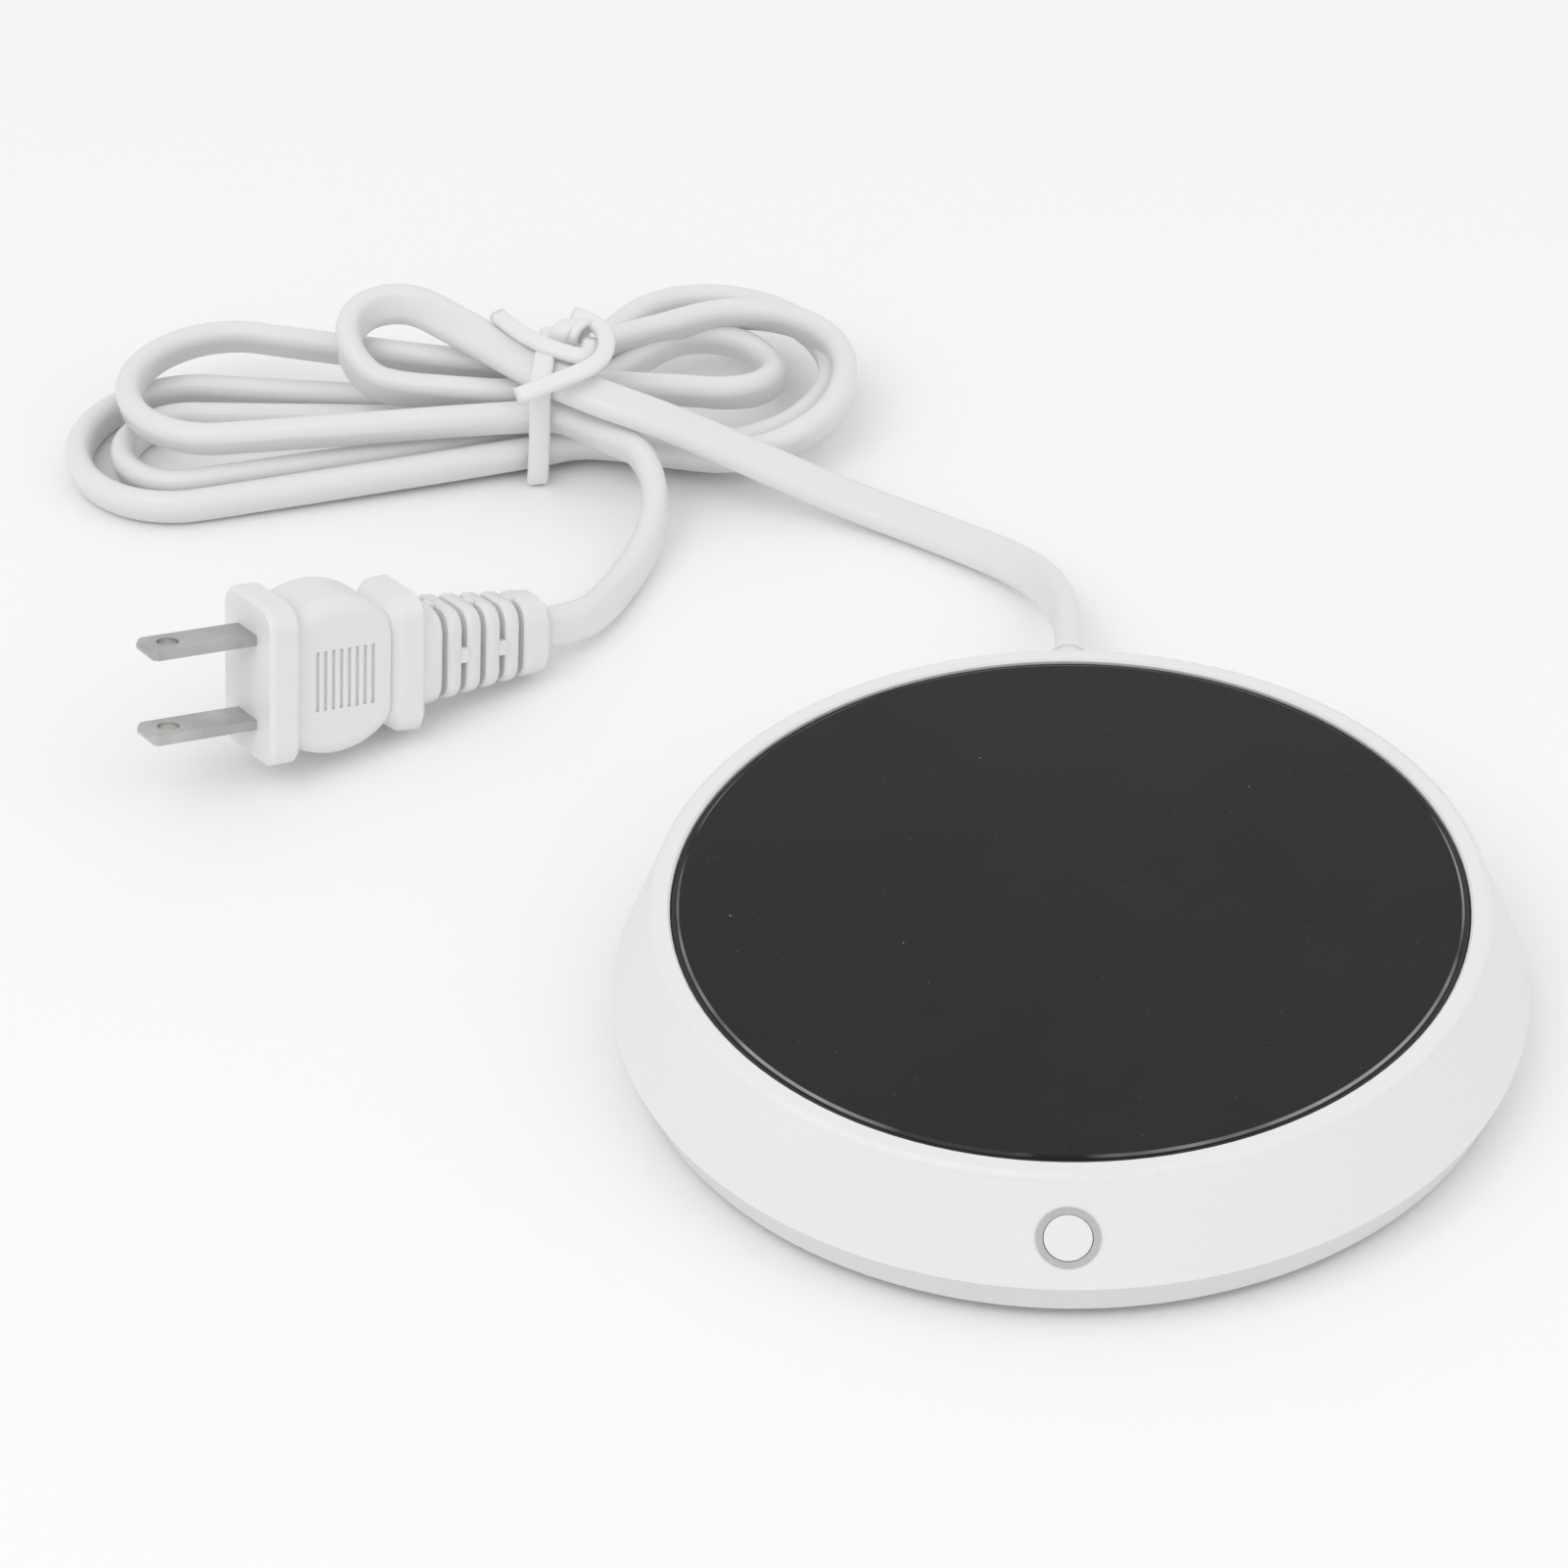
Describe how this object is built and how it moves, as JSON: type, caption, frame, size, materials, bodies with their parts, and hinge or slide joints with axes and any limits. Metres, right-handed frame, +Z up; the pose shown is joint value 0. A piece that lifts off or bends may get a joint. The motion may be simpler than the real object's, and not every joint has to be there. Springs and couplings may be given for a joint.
{
  "type": "electric mug warmer",
  "caption": "Round electric mug warmer: sloped white housing, flush black glass heating plate, push button on the slope, flat mains cord in a tied hank with a two-blade plug.",
  "frame": {"origin": "on the table, under the middle of the housing, at the bottom of the feet", "axes": "+Z up through the middle of the glass plate, -Y towards the button, +Y towards the cord's exit"},
  "size_m": [0.219, 0.2321, 0.0283],
  "materials": {
    "white_plastic": "fine satin",
    "base_plastic": "fine satin",
    "black_glass": "polished",
    "black_silicone": "matte",
    "foot_rubber": "matte",
    "button_plastic": "satin",
    "light_ring": "translucent",
    "screw_steel": "plated",
    "plate_steel": "pressed sheet",
    "aluminium": "milled",
    "mica": "laminated",
    "insulation": "felted fibre",
    "sensor_epoxy": "dipped",
    "fuse_case": "drawn",
    "circuit_board": "lacquered",
    "components": "moulded",
    "switch": "moulded",
    "cord_pvc": "soft satin",
    "plug_pvc": "satin",
    "blade_metal": "nickel plated",
    "tie_plastic": "smooth",
    "wire_insulation": "smooth"
  },
  "bodies": {
    "warmer": {"base_cover": "base_plastic", "upper_housing": "white_plastic", "rubber_feet": "foot_rubber", "case_screws": "screw_steel", "button_ring": "light_ring", "tact_switch": "switch", "button_board": "circuit_board", "heating_glass": "black_glass", "glass_seal": "black_silicone", "heat_spreader": "aluminium", "heater_element": "mica", "insulation_pad": "insulation", "pressure_plate": "plate_steel", "plate_screws": "screw_steel", "temperature_sensor": "sensor_epoxy", "thermal_fuse": "fuse_case", "control_board": "circuit_board", "board_components": "components", "board_screws": "screw_steel", "cord_bushing": "white_plastic", "cord_inner": "cord_pvc", "cord_clamp": "base_plastic", "clamp_screws": "screw_steel", "mains_leads": "wire_insulation", "heater_leads": "wire_insulation", "plug_body": "plug_pvc", "plug_boot": "plug_pvc", "plug_blades": "blade_metal", "cord_hank": "cord_pvc", "cord_lead": "cord_pvc", "cord_tail": "cord_pvc", "cord_tie": "tie_plastic"},
    "button": {"power_button": "button_plastic"}
  },
  "joints": [
    {"name": "power_button_press", "type": "slide", "parent": "warmer", "child": "button", "axis": [0, 0.925, -0.38], "range_m": [0, 0.0006], "stiffness_N_per_m": 400}
  ]
}
